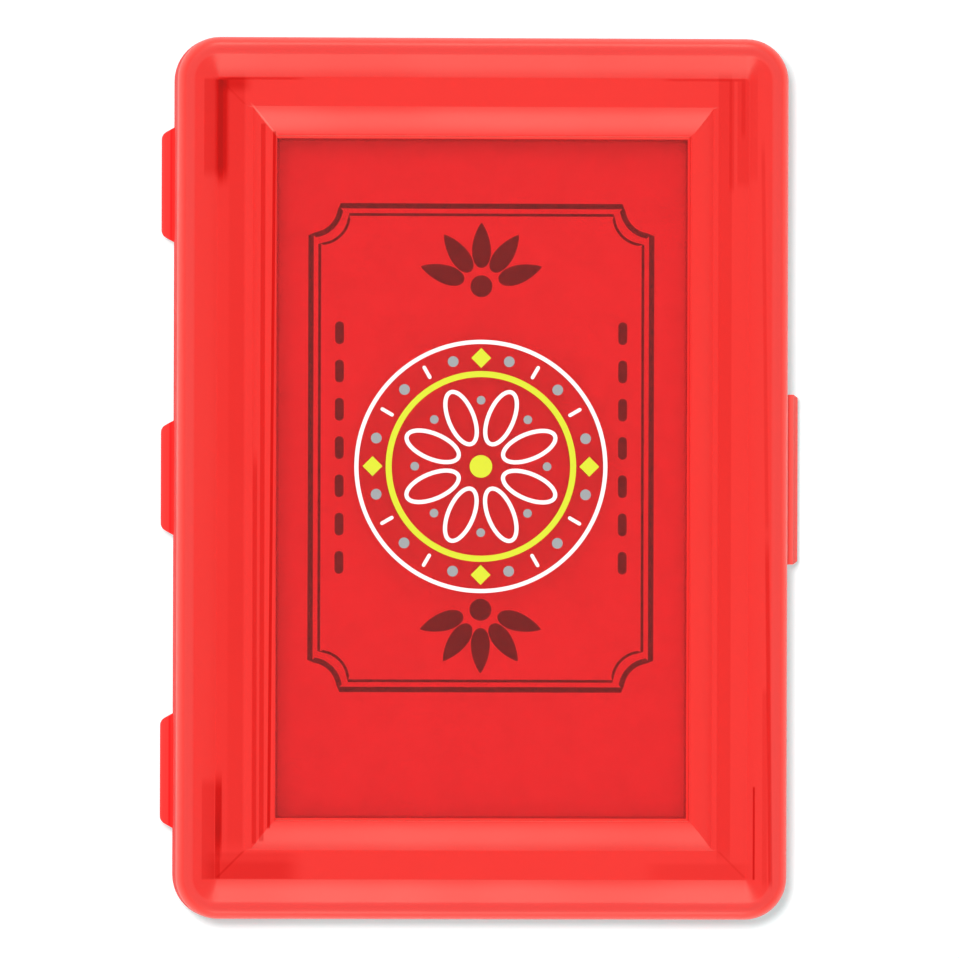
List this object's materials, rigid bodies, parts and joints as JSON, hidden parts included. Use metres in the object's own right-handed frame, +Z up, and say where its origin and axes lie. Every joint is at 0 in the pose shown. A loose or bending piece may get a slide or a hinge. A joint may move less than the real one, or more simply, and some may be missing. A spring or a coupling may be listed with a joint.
{
  "type": "playing card case",
  "caption": "Hinged translucent plastic case for a deck of playing cards, with a framed window in its lid, living hinges, a springy latch tongue and the cards inside.",
  "frame": {"origin": "centre of the flat underside of the tray, which rests on the table", "axes": "+Z up through the window, +Y to the upper end of the case (the deck lies against that end), +X to the latch side"},
  "size_m": [0.0738, 0.1016, 0.022],
  "materials": {
    "case_plastic": "translucent moulded red plastic, glossy window, slightly hazy frame",
    "card_stock": "coated white card, smooth"
  },
  "bodies": {
    "base": {"base_tray": "case_plastic", "hinge_web_upper": "case_plastic", "hinge_web_middle": "case_plastic", "hinge_web_lower": "case_plastic", "card_01": "card_stock", "card_02": "card_stock", "card_03": "card_stock", "card_04": "card_stock", "card_05": "card_stock", "card_06": "card_stock", "card_07": "card_stock", "card_08": "card_stock", "card_09": "card_stock", "card_10": "card_stock", "card_11": "card_stock", "card_12": "card_stock", "card_13": "card_stock", "card_14": "card_stock", "card_15": "card_stock", "card_16": "card_stock", "card_17": "card_stock", "card_18": "card_stock", "card_19": "card_stock", "card_20": "card_stock", "card_21": "card_stock", "card_22": "card_stock", "card_23": "card_stock", "card_24": "card_stock", "card_25": "card_stock", "card_26": "card_stock", "card_27": "card_stock", "card_28": "card_stock", "card_29": "card_stock", "card_30": "card_stock", "card_31": "card_stock", "card_32": "card_stock", "card_33": "card_stock", "card_34": "card_stock", "card_35": "card_stock", "card_36": "card_stock", "card_37": "card_stock", "card_38": "card_stock", "card_39": "card_stock", "card_40": "card_stock", "card_41": "card_stock", "card_42": "card_stock", "card_43": "card_stock", "card_44": "card_stock", "card_45": "card_stock", "card_46": "card_stock", "card_47": "card_stock", "card_48": "card_stock", "card_49": "card_stock", "card_50": "card_stock", "card_51": "card_stock", "card_52": "card_stock", "card_53": "card_stock", "card_54": "card_stock"},
    "lid": {"lid_cover": "case_plastic"},
    "latch": {"latch_tongue": "case_plastic"}
  },
  "joints": [
    {"name": "lid_hinge", "type": "hinge", "parent": "base", "child": "lid", "pos_m": [-0.0368, 0, 0.011], "axis": [0, -1, 0], "range_deg": [0, 180], "deforming": ["hinge_web_upper", "hinge_web_middle", "hinge_web_lower"]},
    {"name": "latch_flex", "type": "hinge", "parent": "lid", "child": "latch", "pos_m": [0.03545, 0, 0.0146], "axis": [0, -1, 0], "range_deg": [0, 12], "stiffness_Nm_per_rad": 0.05}
  ]
}
